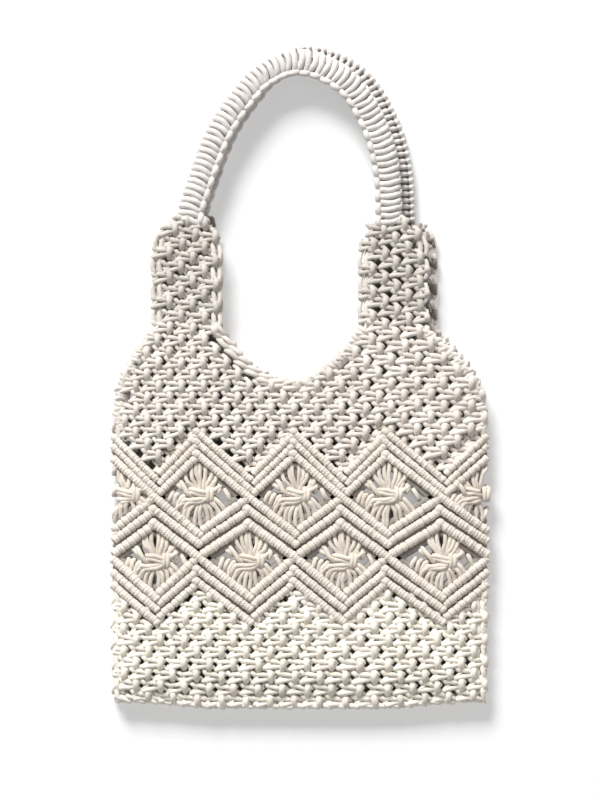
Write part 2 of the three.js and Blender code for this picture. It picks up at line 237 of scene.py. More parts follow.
def resample(paths, count):
    """Catmull-Rom curves through N paths of P points, each at `count` even steps of parameter."""
    paths = np.asarray(paths, float)
    before = 2 * paths[:, :1] - paths[:, 1:2]
    after = 2 * paths[:, -1:] - paths[:, -2:-1]
    padded = np.concatenate([before, paths, after], axis=1)
    at = np.linspace(0, paths.shape[1] - 1, count)
    seg = np.minimum(at.astype(int), paths.shape[1] - 2)
    t = (at - seg)[None, :, None]
    a, b, c, d = (padded[:, seg + k] for k in range(4))
    return 0.5 * (
        2 * b + (c - a) * t + (2 * a - 5 * b + 4 * c - d) * t * t + (3 * b - a - 3 * c + d) * t ** 3
    )


def unit(vectors):
    return vectors / np.maximum(np.linalg.norm(vectors, axis=-1, keepdims=True), 1e-9)


class Cords:
    """Gathers tubes and writes them as one mesh."""

    def __init__(self, name="front"):
        front = PANELS[name]["level"] == 1
        self.detail = 1.0 if front else BACK_DETAIL
        self.spare_sides = 0 if front else 1
        self.vertices = []
        self.faces = []
        self.uvs = []
        self.shades = []
        self.count = 0

    def add(self, paths, radius, rings, sides=7, flat=1.0, ends=0.55, shade=1.0, up=(0, 0, 1), panel=None):
        """Adds a tube along each of N paths, above the surface that the bag lies on.

        `flat` thins it across `up`, and `ends` is the end rings' size.
        """
        rings = max(3, round(rings * self.detail))
        sides -= self.spare_sides
        curve = resample(paths, rings)
        if panel is not None:
            curve = onto_panel(panel, curve)
        number = len(curve)
        along = unit(np.gradient(curve, axis=1))
        side = unit(np.cross(np.broadcast_to(np.asarray(up, float), along.shape[::2]), along[:, 0]))
        normals = [side]
        for k in range(1, rings):
            carried = normals[-1] - along[:, k] * np.sum(normals[-1] * along[:, k], axis=-1, keepdims=True)
            normals.append(unit(carried))
        across = np.stack(normals, axis=1)
        out = np.cross(along, across)
        radius = np.broadcast_to(np.asarray(radius, float).reshape(-1, 1), (number, rings)).copy()
        radius[:, 0] *= ends
        radius[:, -1] *= ends
        turn = np.arange(sides) * 2 * math.pi / sides
        ring = (
            across[:, :, None] * np.cos(turn)[None, None, :, None]
            + out[:, :, None] * np.sin(turn)[None, None, :, None] * flat
        )
        skin = curve[:, :, None] + ring * radius[:, :, None, None]
        skin[..., 2] = np.maximum(skin[..., 2], 0)
        step = np.linalg.norm(np.diff(curve, axis=1), axis=-1)
        length = np.concatenate([np.zeros((number, 1)), np.cumsum(step, axis=1)], axis=1)
        length = length + rng.uniform(0, 50, (number, 1))
        self.write(skin, length, shade)

    def write(self, skin, length, shade):
        """Keeps the tubes' corners and faces, closed by a fan of triangles at each end."""
        number, rings, sides, _ = skin.shape
        caps = np.stack([skin[:, 0].mean(axis=1), skin[:, -1].mean(axis=1)], axis=1)
        block = np.concatenate([skin.reshape(number, -1, 3), caps], axis=1)
        stride = rings * sides + 2
        i, j = np.meshgrid(np.arange(rings - 1), np.arange(sides), indexing="ij")
        near = i * sides + j
        beside = i * sides + (j + 1) % sides
        quads = np.stack([near, beside, beside + sides, near + sides], axis=-1).reshape(-1, 4)
        starts = self.count + np.arange(number) * stride
        self.faces.append((quads[None] + starts[:, None, None]).reshape(-1, 4))
        around = np.stack([j, j + 1, j + 1, j], axis=-1).reshape(-1, 4) / sides
        lengths = np.stack([length[:, i], length[:, i], length[:, i + 1], length[:, i + 1]], axis=-1)
        lengths = lengths.reshape(number, -1, 4)
        quad_uv = np.stack([np.broadcast_to(around[None], lengths.shape), lengths / 10], axis=-1)
        self.uvs.append(quad_uv.reshape(-1, 2))
        j = np.arange(sides)
        first = np.stack([np.full(sides, rings * sides), (j + 1) % sides, j], axis=-1)
        base = (rings - 1) * sides
        last = np.stack([np.full(sides, rings * sides + 1), base + j, base + (j + 1) % sides], axis=-1)
        fans = np.concatenate([first, last])
        self.faces.append((fans[None] + starts[:, None, None]).reshape(-1, 3))
        self.uvs.append(np.zeros((number * len(fans) * 3, 2)))
        self.vertices.append(block.reshape(-1, 3))
        values = np.broadcast_to(np.asarray(shade, float).reshape(-1, 1), (number, stride))
        self.shades.append(values.reshape(-1))
        self.count += number * stride

    def piece(self, name, material, slot, *nodes):
        """Writes the mesh, and makes it a piece of the bag that stands for these CAD nodes."""
        mesh = bpy.data.meshes.new(name)
        vertices = place(np.concatenate(self.vertices))
        sizes = np.concatenate([np.full(len(faces), faces.shape[1]) for faces in self.faces])
        corners = np.concatenate([faces.reshape(-1) for faces in self.faces])
        mesh.vertices.add(len(vertices))
        mesh.vertices.foreach_set("co", vertices.reshape(-1))
        mesh.loops.add(len(corners))
        mesh.loops.foreach_set("vertex_index", corners.astype(np.int32))
        mesh.polygons.add(len(sizes))
        starts = np.concatenate([[0], np.cumsum(sizes)[:-1]])
        mesh.polygons.foreach_set("loop_start", starts.astype(np.int32))
        mesh.update(calc_edges=True)
        mesh.polygons.foreach_set("use_smooth", np.ones(len(sizes), bool))
        layer = mesh.uv_layers.new(name="cord")
        layer.data.foreach_set("uv", np.concatenate(self.uvs).reshape(-1))
        shade = mesh.attributes.new("shade", "FLOAT", "POINT")
        shade.data.foreach_set("value", np.concatenate(self.shades))
        mesh.validate()
        mesh.materials.append(material)
        piece = bpy.data.objects.new(name, mesh)
        bpy.context.scene.collection.objects.link(piece)
        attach(piece, "root")
        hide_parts(*nodes)
        print(name, int(np.sum(sizes - 2)), "triangles")


def jitter(paths, across, level):
    """Moves each whole path a little."""
    moves = rng.normal(0, 1, (len(paths), 1, 3)) * np.array([across, across, level])
    return paths + moves


# Outlines

def turned(name):
    """1 or -1, with which the back panel's zigzags lie right behind the front panel's."""
    return 1 if PANELS[name]["level"] else -1


def place_of_turn(name, turn):
    """Where a zigzag has gone through so many periods, counted from the middle peak of the top band."""
    return turned(name) * np.interp(turned(name) * turn, TURN_COUNTS, TURNS)


def rib_height(band, rib, share):
    """Height of a rib, by its share of the way from a peak to a valley; rib 0 is a band's highest."""
    peak, valley = RIB_PEAKS[band][rib], RIB_VALLEYS[band][rib]
    return peak + (valley - peak) * share


def rib_line(name, band, rib, x):
    """Height of a rib's middle line at x."""
    turn = turned(name) * np.interp(turned(name) * np.asarray(x), TURNS, TURN_COUNTS) + PHASES[band]
    return rib_height(band, rib, 2 * np.abs(turn - np.round(turn)))


def band_top(name, band, x):
    return rib_line(name, band, 0, x) + RIB_REACH


def band_foot(name, band, x):
    return rib_line(name, band, RIBS_PER_BAND - 1, x) - RIB_REACH


def curve_points(start, control, end):
    """Points on a curve with one control point."""
    t = np.linspace(0, 1, 12)[:, None]
    start, control, end = (np.asarray(p, float) for p in (start, control, end))
    return (1 - t) ** 2 * start + 2 * t * (1 - t) * control + t * t * end


def shoulder_points(middle, foot, outward):
    """Up one edge of a shoulder, from its base to its top."""
    edge = middle + outward * SHOULDER_WIDTH / 2
    top = foot + outward * SHOULDER_TOP_WIDTH / 2
    bend = (edge, SHOULDER_TOP - SHOULDER_ROUND / 3)
    return np.concatenate([
        [(edge, SHOULDER_BASE)],
        curve_points((edge, SHOULDER_TOP - SHOULDER_ROUND), bend, (top, SHOULDER_TOP)),
    ])


def seen_sides(panel):
    """Shoulder and foot middles from left to right as the panel is seen from outside."""
    shoulders, feet = panel["shoulders"], panel["feet"]
    if not panel["level"]:
        shoulders, feet = (-shoulders[1], -shoulders[0]), (-feet[1], -feet[0])
    return tuple(middle + nudge for middle, nudge in zip(shoulders, SHOULDER_NUDGE)), feet


def outer_edge(name, middle, foot, outward):
    """Up one side of the upper net, from the ribs to the top of its shoulder."""
    side = outward * PANEL_HALF
    base = (middle + outward * SHOULDER_WIDTH / 2, SHOULDER_BASE)
    return np.concatenate([
        [(side, float(band_top(name, "top", PANEL_HALF)))],
        curve_points((side, HIP_HEIGHT), (side, SLOPE_CORNER), base),
        shoulder_points(middle, foot, outward),
    ])


def upper_edges(name):
    """The upper net's edges as lists of points: outer left, neckline and outer right.

    The outer edges start low, and the neckline starts on top of the left shoulder.
    """
    panel = PANELS[name]
    (left, right), (left_foot, right_foot) = seen_sides(panel)
    half = SHOULDER_WIDTH / 2
    neck_middle = (left + right) / 2
    bend = NECK_FULLNESS * ((right - left) / 2 - half)
    lowest = (neck_middle, NECK_HEIGHT)
    neck = np.concatenate([
        shoulder_points(left, left_foot, 1)[:0:-1],
        curve_points((left + half, NECK_TOP), (neck_middle - bend, NECK_HEIGHT), lowest),
        curve_points(lowest, (neck_middle + bend, NECK_HEIGHT), (right - half, NECK_TOP)),
        shoulder_points(right, right_foot, -1)[1:],
    ])
    return outer_edge(name, left, left_foot, -1), neck, outer_edge(name, right, right_foot, 1)


def upper_outline(name):
    """The upper net's outline, which goes on under the ribs."""
    outer_left, neck, outer_right = upper_edges(name)
    across = np.arange(-PANEL_HALF, PANEL_HALF + 1, 2.0)[::-1]
    low = np.stack([across, band_top(name, "top", across) - UNDER_RIBS], axis=-1)
    return np.concatenate([outer_left, neck, outer_right[::-1], low])


def sag(x):
    """How far the bottom hangs lower in the middle than at its corners."""
    return BOTTOM_SAG * smooth((PANEL_HALF - CORNER_RADIUS - np.abs(x)) / SAG_REACH)


def lower_outline(name):
    """The lower net's outline, which goes on under the ribs and is rounded at the bottom corners."""
    across = np.arange(-PANEL_HALF, PANEL_HALF + 1, 2.0)
    high = np.stack([across, band_foot(name, "bottom", across) + UNDER_RIBS], axis=-1)
    into_corner = np.clip(1 - (PANEL_HALF - np.abs(across)) / CORNER_RADIUS, 0, 1)
    corner = CORNER_RADIUS - CORNER_RADIUS * np.sqrt(1 - into_corner ** 2)
    low = np.stack([across, PANEL_BOTTOM - 1.0 + corner - sag(across)], axis=-1)
    return np.concatenate([high, low[::-1]])


def distance_inside(outline, points):
    """How far inside a closed outline each point lies; negative outside."""
    a = outline
    b = np.roll(outline, -1, axis=0)
    edge = b - a
    span = np.maximum(np.sum(edge * edge, axis=-1), 1e-9)
    to = points[:, None] - a[None]
    share = np.clip(np.sum(to * edge[None], axis=-1) / span[None], 0, 1)
    away = np.linalg.norm(to - share[..., None] * edge[None], axis=-1).min(axis=1)
    crosses = (a[None, :, 1] > points[:, None, 1]) != (b[None, :, 1] > points[:, None, 1])
    rise = np.where(edge[:, 1] == 0, 1e-9, edge[:, 1])
    hit = a[None, :, 0] + (points[:, None, 1] - a[None, :, 1]) / rise[None] * edge[None, :, 0]
    inside = (np.sum(crosses & (points[:, None, 0] < hit), axis=1) % 2) == 1
    return np.where(inside, away, -away)


# Nets of alternating square knots

def upper_row(row):
    """Height of a row of the upper net; row 0 is where the shoulders start, and rows count upwards."""
    return TOP_BODY_ROW + row * (ROW_PITCH if row <= 0 else SHOULDER_ROW)


def lower_row(row):
    """Height of a row of the lower net's knots, counted up from the bottom."""
    return LOWEST_ROW + row * LOWER_ROW_PITCH


def upper_column(column):
    """Where a column of the upper net lies; the net is worked a little looser towards the right."""
    return FIRST_COLUMN + UPPER_PITCH * column + UPPER_WIDENING * np.maximum(column, 0) ** 2


def lower_column(column):
    """Where a column of the lower net lies; the columns right of the middle are wider."""
    return FIRST_COLUMN + LOWER_PITCH * column + WIDE_STRETCH * smooth((column - WIDE_START) / WIDE_COLUMNS)


def knot_height(panel, row, x):
    """Height of a row's knots at x. The rows slope on the shoulders and lie higher on the right."""
    height = upper_row(row)
    left, right = seen_sides(panel)[0]
    if x < 0:
        return height - np.interp(height, TILT_HEIGHTS, TILTS) * (x - left)
    raised = np.interp(height, RAISE_HEIGHTS, RAISES) * smooth((x - RAISE_START) / RAISE_REACH)
    tilt = RIGHT_TILT * smooth((height - RIGHT_TILT_START) / RIGHT_TILT_REACH)
    return height + raised + tilt * (x - right)


def pitch_at(column_of, x):
    """A net's column pitch at x."""
    columns = np.arange(-9, 9.5, 0.5)
    lines = column_of(columns)
    return np.interp(x, (lines[:-1] + lines[1:]) / 2, np.diff(lines) * 2)


def shoulder_column(panel, column, height):
    """Where a column lies on a shoulder. The columns close up towards the handle's foot."""
    shoulders, feet = seen_sides(panel)
    side = 0 if column < 0 else 1
    middle = shoulders[side]
    lean = smooth((height - SHOULDER_TOP + CLOSING_HEIGHT) / CLOSING_HEIGHT)
    pitch = SHOULDER_PITCH * (1 - CLOSING * lean)
    return middle + (feet[side] - middle) * lean + (column - SHOULDER_COLUMNS[side]) * pitch


def upper_lattice(panel):
    """Places of the upper net's knots, with each row's columns half a pitch along from the next row's."""
    shift = 0 if panel["level"] else BACK_SHIFT
    places = []
    for row in range(-13, 10):
        share = smooth((upper_row(row) - TOP_BODY_ROW + SHOULDER_BLEND) / SHOULDER_BLEND)
        for column in np.arange(-8, 9) + 0.5 * (row % 2 == 0):
            loose = upper_column(column)
            x = loose + (shoulder_column(panel, column, upper_row(row)) - loose) * share
            places.append((x + shift, knot_height(panel, row, x)))
    return np.array(places)


def lower_lattice():
    """Places of the lower net's knots."""
    places = []
    for row in range(10):
        for column in np.arange(-8, 9) + 0.5 * (row % 2 == 1):
            places.append((lower_column(column), lower_row(row)))
    return np.array(places)


# The cords of one square knot, each as (u, v, w) around the knot's middle
UPPER_BAR = [
    (-5.4, 3.7, 2.6), (-4.2, 3.7, 5.2), (-1.8, 3.2, 6.6), (0.8, 2.6, 6.4), (3.0, 1.9, 4.8),
    (4.4, 1.5, 2.8),
]
LOWER_BAR = [
    (-11.2, -4.9, 2.4), (-9.6, -4.1, 5.2), (-6.8, -3.2, 6.8), (-3.2, -2.4, 6.6), (0.4, -1.7, 6.2),
    (3.2, -1.1, 4.4), (4.6, -0.9, 2.8),
]
BUMP = [
    (5.7, 5.6, 4.4), (5.9, 4.0, 7.2), (6.1, 1.4, 8.4), (6.1, -1.2, 7.2), (6.0, -3.4, 5.0),
    (5.9, -5.0, 2.8),
]
STAR_CORD = [
    (1.6, 8.6, 2.6), (3.0, 7.7, 4.8), (5.0, 6.2, 6.2), (7.0, 4.6, 6.6), (8.6, 3.2, 5.4),
    (9.4, 2.4, 3.0),
]
SIDE_CORD = [(7.0, 0.6, 2.8), (8.3, -0.8, 4.4), (9.9, -2.7, 4.6), (11.3, -4.8, 2.8)]
LEFT_LOOP = [
    (-4.6, 1.4, 3.2), (-6.0, 0.2, 5.2), (-7.4, -1.4, 6.2), (-8.8, -2.9, 5.2), (-9.8, -4.2, 2.8),
]
SLANT_STRAND = [
    (-11.0, 6.6, 2.6), (-10.0, 5.5, 5.2), (-8.2, 3.8, 6.0), (-6.4, 2.0, 5.0), (-5.4, 0.8, 2.6),
]
LEFT_FILLER = [(-4.8, 6.6, 2.6), (-2.5, 0.0, 3.0), (-4.6, -6.8, 2.6)]
RIGHT_FILLER = [(3.6, 6.8, 2.6), (2.6, 0.0, 3.0), (4.8, -6.6, 2.6)]
BACK_BAR = [(-7.4, 0.8, 2.6), (0.0, -0.5, 1.7), (7.2, 0.4, 2.6)]

# Each cord with its thickness, its rings and its painted shading: the cords behind a knot are darkened with
# painted shade, which darkens the holes, and the others are a little lighter or darker
KNOT_CORDS = [
    (UPPER_BAR, 1.0, 8, 0.98), (LOWER_BAR, 0.98, 9, 1.0), (BUMP, 1.26, 8, 0.97),
    (STAR_CORD, 0.92, 7, 1.03), (SIDE_CORD, 0.68, 5, 1.0), (LEFT_LOOP, 0.86, 6, 1.03),
    (SLANT_STRAND, 0.9, 7, 0.93), (LEFT_FILLER, 0.9, 3, 0.45), (RIGHT_FILLER, 0.9, 3, 0.45),
    (BACK_BAR, 1.0, 3, 0.35),
]


def knots(cords, name, centres, sunk, rim, pitch, tone=1.0):
    """A square knot at each centre, sunk by so much and as wide as its column's pitch.

    The cords that reach the rim, a closed line, turn back there.
    """
    number = len(centres)
    room = distance_inside(rim, centres)[:, None]
    tone = np.broadcast_to(tone, number)
    tilt = rng.normal(0, 0.06, number)
    swell = rng.normal(1, 0.04, number)
    level = rng.normal(0, 0.3, number) - sunk
    wider = pitch / KNOT_PITCH
    for route, thickness, rings, painted_shading in KNOT_CORDS:
        shape = varied(route, number, 0.2)
        u = shape[..., 0] * np.cos(tilt)[:, None] - shape[..., 1] * np.sin(tilt)[:, None]
        v = shape[..., 0] * np.sin(tilt)[:, None] + shape[..., 1] * np.cos(tilt)[:, None]
        away = np.stack([u * wider[:, None], v], axis=-1) * swell[:, None, None]
        spots = centres[:, None] + away
        left_over = distance_inside(rim, spots.reshape(-1, 2)).reshape(u.shape)
        short = (room - EDGE_ROOM) / np.maximum(room - left_over, 0.1)
        held = np.where(left_over < EDGE_ROOM, np.clip(short, SHORTEST, 1), 1.0)
        spots = centres[:, None] + away * held[..., None]
        paths = np.concatenate([spots, shape[..., 2:] + level[:, None, None]], axis=-1)
        radius = thickness * CORD / 2 * rng.normal(1, 0.03, number) * (1 + CORD_GROWTH * (wider - 1))
        # Each cord's painted shading, times the net's tone and a small random tone
        shade = painted_shading * tone * rng.normal(1, 0.05, number)
        cords.add(paths, radius, rings, 7, ends=0.7, shade=shade, panel=name)


def varied(route, number, spread):
    """So many copies of a route, each a little different."""
    return np.array(route, float)[None] + rng.normal(0, spread, (number, len(route), 3))


def laid(places, along, across, shapes):
    """Routes of (along, across, w), one laid at each place."""
    flat = places[:, None] + along[:, None] * shapes[..., :1] + across[:, None] * shapes[..., 1:2]
    return np.concatenate([flat, shapes[..., 2:]], axis=-1)


def left_of(heading):
    return np.stack([-heading[:, 1], heading[:, 0]], axis=-1)


def along_line(line, spacing):
    """Places and headings at even steps along a line of points."""
    line = np.asarray(line, float)
    step = np.linalg.norm(np.diff(line, axis=0), axis=1)
    length = np.concatenate([[0], np.cumsum(step)])
    count = max(2, int(round(length[-1] / spacing)) + 1)
    at = np.linspace(0, length[-1], count)
    places = np.stack([np.interp(at, length, line[:, k]) for k in range(2)], axis=-1)
    return places, unit(np.gradient(places, axis=0))


def stitches(cords, name, line, pitch, route, thickness):
    """Repeats a short cord along a line. `route` holds (along, to the left of the line, w)."""
    places, heading = along_line(line, pitch)
    paths = laid(places, heading, left_of(heading), varied(route, len(places), 0.3))
    radius = thickness * CORD / 2 * rng.normal(1, 0.04, len(places))
    cords.add(paths, radius, 9, 7, shade=rng.normal(1, 0.03, len(places)), panel=name)


# The two free cords along an edge, each by its distance in, its swing out, its w and its thickness
FLOATS = [(2.4, 0.6, 5.4, 0.95), (8.0, 0.2, 4.6, 1.05)]
FLOAT_SHARES = np.array([0.0, 0.18, 0.5, 0.82, 1.0])
FLOAT_START = 1.8
FLOAT_DIP = 1.6


def floats(cords, name, edge, outward, rows):
    """Edge cords that run free from one wide row to the next. `edge` is a line of points, low to high."""
    rows = np.asarray(rows, float)
    low, high = rows[:-1] + FLOAT_START, rows[1:] - FLOAT_START
    arch = np.sin(FLOAT_SHARES * math.pi)
    dip = FLOAT_DIP * (1 - arch)
    heights = low[:, None] + (high - low)[:, None] * FLOAT_SHARES[None]
    out = np.interp(heights, edge[:, 1], edge[:, 0])
    for inset, swing, w, thickness in FLOATS:
        paths = np.stack([
            out + outward * (swing * arch - inset - dip)[None],
            heights,
            np.broadcast_to(w - dip, heights.shape),
        ], axis=-1)
        paths = jitter(paths, 0.3, 0.2)
        cords.add(paths, thickness * CORD / 2, 10, 7, shade=rng.normal(1, 0.03, len(paths)), panel=name)


# Short cords that lie along the neckline's left half and the outer edges, as (along, to the left, w)
ROPE_OVAL = [(-7.6, -1.6, 3.2), (-5.0, -1.0, 5.4), (0.0, 0.0, 6.6), (5.0, 1.0, 5.6), (7.6, 1.6, 3.4)]

# Short cords that lie along the bottom edge, one between two knots, as (along, to the left, w)
BOTTOM_OVAL = [(-5.6, 3.0, 2.6), (-3.6, 2.0, 5.0), (0.0, 0.6, 6.0), (3.6, -0.6, 5.0), (5.4, -1.0, 2.8)]

# The loops in which the rows end at an edge, as (out of the edge, up, w)
EDGE_LOOPS = [
    [(-10.0, 0.6, 3.0), (-8.0, 0.9, 5.2), (-5.0, 1.0, 6.4), (-2.4, 0.3, 5.6), (-1.8, -1.4, 4.0),
     (-3.8, -2.6, 2.6)],
    [(-10.0, -1.0, 3.0), (-7.8, -1.0, 5.0), (-5.2, -0.4, 6.0), (-2.6, 0.6, 5.6), (-1.7, 2.2, 4.4),
     (-3.2, 3.8, 2.6)],
]


def edge_loops(cords, name, line, outward):
    """Rows' ends along an edge, in turn of one form and the other."""
    places, heading = along_line(line, LOOP_PITCH)
    normal = -left_of(heading)
    normal *= np.where(normal[:, :1] * outward < 0.05, -1, 1)
    out = unit(normal + np.array([0.6 * outward, 0.0]))
    up = left_of(out) * np.where(out[:, :1] < 0, -1, 1)
    for k, route in enumerate(EDGE_LOOPS):
        here, there, over = places[k::2], out[k::2], up[k::2]
        shape = varied(route, len(here), 0.35)
        shape[..., 0] += rng.normal(0, 0.5, (len(here), 1))
        paths = laid(here, there, over, shape)
        radius = CORD / 2 * rng.normal(1.1, 0.05, len(here))
        cords.add(paths, radius, 10, 7, ends=0.85, shade=rng.normal(1, 0.04, len(here)), panel=name)


def dense(line):
    """A line of points with one every 2 mm."""
    return along_line(line, 2.0)[0]


def offset(line, left):
    """The same line moved to its left."""
    return line + left * left_of(unit(np.gradient(line, axis=0)))


def rope(cords, name, line, side, style):
    """A row of short cords along a line, to its left where `side` is 1."""
    inwards, pitch, thickness = style
    stitches(cords, name, offset(dense(line), side * inwards), pitch, ROPE_OVAL, thickness)


def at_level(line, level):
    """One path along a flat line, all at one height."""
    return np.concatenate([line, np.full((len(line), 1), level)], axis=1)[None]


def deep_cord(cords, name, line, radius=DEEP_RADIUS):
    """A cord deep in a panel, which closes it from behind. Its dark colour is painted shade."""
    path = at_level(line, DEEP_LEVEL)
    cords.add(path, radius, len(line), 6, flat=DEEP_FLATNESS, shade=DEEP_SHADE, panel=name)


def wide_rows(panel, side, outward):
    """Heights of the rows that reach a shoulder's edge: even rows on the left, odd on the right."""
    x = seen_sides(panel)[0][side] + outward * SHOULDER_WIDTH / 2
    return [float(knot_height(panel, row, x)) for row in range(side, 9) if row % 2 == side]


def sunk_near_ribs(from_ribs):
    """How far knots lie sunk where they go under the ribs."""
    return KNOT_SINK * smooth((SINK_START - from_ribs) / SINK_REACH)


def grey_above_neck(height):
    """How light the upper net is: its shoulders are greyer."""
    return 1 - SHOULDER_GREY * smooth((height - NECK_TOP + GREY_START) / GREY_REACH)


def upper_net(name):
    cords = Cords(name)
    panel = PANELS[name]
    centres = upper_lattice(panel)
    outer_left, neck, outer_right = upper_edges(name)
    rim = upper_outline(name)
    from_rim = distance_inside(rim, centres)
    from_ribs = centres[:, 1] - band_top(name, "top", centres[:, 0])
    on_shoulder = smooth((centres[:, 1] - SHOULDER_BASE + ON_SHOULDER_START) / ON_SHOULDER_REACH)
    half = len(neck) // 2
    roped = neck[:half]
    roped = dense(roped[roped[:, 1] < NECK_TOP])
    from_rope = np.linalg.norm(centres[:, None] - roped[None], axis=-1).min(axis=1)
    rim_room = RIM_ROOM + (SHOULDER_RIM_ROOM - RIM_ROOM) * on_shoulder
    kept = (from_ribs > -RIB_OVERLAP) & (from_rim > rim_room) & (from_rope > ROPE_ROOM)
    centres = centres[kept]
    sunk = sunk_near_ribs(from_ribs[kept])
    pitch = pitch_at(upper_column, centres[:, 0])
    pitch += (SHOULDER_PITCH - pitch) * on_shoulder[kept]
    knots(cords, name, centres, sunk, rim, pitch, grey_above_neck(centres[:, 1]))
    for side, line in ((0, outer_left), (1, outer_right)):
        outward = 2 * side - 1
        low = line[line[:, 1] < SHOULDER_BASE + EDGE_OVERRUN]
        edge_loops(cords, name, low, outward)
        rope(cords, name, low, outward, OUTER_ROPE)
        deep_cord(cords, name, offset(dense(low), outward * DEEP_OUTER))
        floats(cords, name, line, outward, wide_rows(panel, side, outward))
    for side, line in ((0, neck[:half]), (1, neck[half:])):
        outward = 1 - 2 * side
        edge = line[::-1] if side == 0 else line
        floats(cords, name, edge[np.argsort(edge[:, 1])], outward, wide_rows(panel, side, outward))
        curve = line[line[:, 1] < NECK_TOP + EDGE_OVERRUN]
        if side == 0:
            for style in NECK_ROPES:
                rope(cords, name, curve, -1, style)
            deep_cord(cords, name, offset(dense(curve), -DEEP_NECK))
        else:
            edge_loops(cords, name, curve, outward)
    cords.piece(f"{name}_upper_net_cords", cotton["net_cord"], "net_cord", f"{name}_upper_net")


def lower_net(name):
    cords = Cords(name)
    centres = lower_lattice()
    from_ribs = band_foot(name, "bottom", centres[:, 0]) - centres[:, 1]
    sides = PANEL_HALF - np.abs(centres[:, 0])
    rim = lower_outline(name)
    from_rim = distance_inside(rim, centres)
    kept = (from_ribs > -RIB_OVERLAP) & (sides > LOWER_SIDE_ROOM) & (from_rim > LOWER_RIM_ROOM)
    sunk = sunk_near_ribs(from_ribs[kept])
    centres = centres[kept]
    pitch = pitch_at(lower_column, centres[:, 0])
    centres[:, 1] -= sag(centres[:, 0]) * smooth((SAG_TOP - centres[:, 1]) / SAG_TOP)
    knots(cords, name, centres, sunk, rim, pitch)
    top = float(band_foot(name, "bottom", PANEL_HALF)) + EDGE_OVERRUN
    for side in (-1, 1):
        line = np.array([(side * PANEL_HALF, PANEL_BOTTOM + 5), (side * PANEL_HALF, top)])
        deep_cord(cords, name, offset(dense(line), side * DEEP_SIDE))
        rows = [lower_row(row) for row in range(-1, 11) if (row % 2 == 0) == (side < 0)]
        floats(cords, name, line, side, [min(height, top) for height in rows if height > PANEL_BOTTOM])
        rope(cords, name, line, side, SIDE_ROPE)
    across = np.linspace(CORNER_RADIUS - PANEL_HALF, PANEL_HALF - CORNER_RADIUS, 60)
    bottom = np.stack([across, PANEL_BOTTOM - sag(across)], axis=-1)
    stitches(cords, name, bottom, BOTTOM_PITCH, BOTTOM_OVAL, 1.05)
    deep_cord(cords, name, bottom + np.array([0.0, DEEP_BOTTOM]))
    cords.piece(f"{name}_lower_net_cords", cotton["lower_net"], "net_cord", f"{name}_lower_net")


# Ribs of double half hitches

# Pitch, thickness, pairing, lean and level of the hitches on ribs that run down and up to the right
DOWN_HITCH = (2.95, 5.6, 0.05, 0.08, 6.6)
UP_HITCH = (2.95, 4.3, 0.11, -0.06, 6.0)
WRAP_ANGLES = np.radians([-38, 0, 35, 90, 145, 180, 218])

# How far a rib runs on past its peak and its valley, and how far one that lies below stays back there
OVER_PEAK = 2.6
OVER_VALLEY = 1.6
UNDER_VALLEY = 4.4
UNDER_PEAK = 3.0
SHORTEST_RIB = 6.0
END_BACK = 1.5
END_LENGTH = 5.0

# The rib's core, by how far it lies in the hitches and its painted shade, and the deep cords between and
# beside the ribs, which carry painted shadow
CORE_SINK = 0.42
CORE_SHADE = 0.6
DEEP_RIB_RADIUS = 3.4
BELOW_BAND = 2.4
ABOVE_BAND = 1.6


def hitches(cords, name, line, wide, style):
    """Wraps around a rib along `line`, a row of (u, v), with a core."""
    pitch, thick, pairing, lean, level = style
    places, heading = along_line(line, pitch)
    normal = left_of(heading)
    count = len(places)
    ring = wide / 2 - thick / 2
    pair = np.where(np.arange(count) % 2 == 0, pairing, -pairing) * pitch
    paths = np.stack([
        np.concatenate([
            places
            + normal * math.cos(angle) * ring
            + heading * (lean * math.cos(angle) * pitch + pair[:, None]),
            np.full((count, 1), level + math.sin(angle) * ring),
        ], axis=1)
        for angle in WRAP_ANGLES
    ], axis=1)
    paths = jitter(paths, 0.16, 0.2)
    cords.add(paths, thick / 2 * rng.normal(1.0, 0.035, count), 9, 7, ends=0.8,
              shade=rng.normal(1, 0.03, count), up=(*heading[count // 2], 0), panel=name)
    core = wide / 2 - thick * CORE_SINK
    # The core is darkened with painted shade, where the hitches shadow it
    cords.add(at_level(places, level), core, max(6, count), 8, shade=CORE_SHADE, panel=name)


def rounded_end(cords, name, tip, heading, wide, level):
    """The rounded start of a rib that lies over the others."""
    back = np.array([*tip, level]) - np.array([*heading, 0]) * END_BACK
    front = np.array([*tip, level]) + np.array([*heading, 0]) * END_LENGTH
    path = back + (front - back) * np.linspace(0, 1, 5)[:, None]
    cords.add(path[None], wide / 2, 5, 10, ends=0.7, shade=1.0, panel=name)


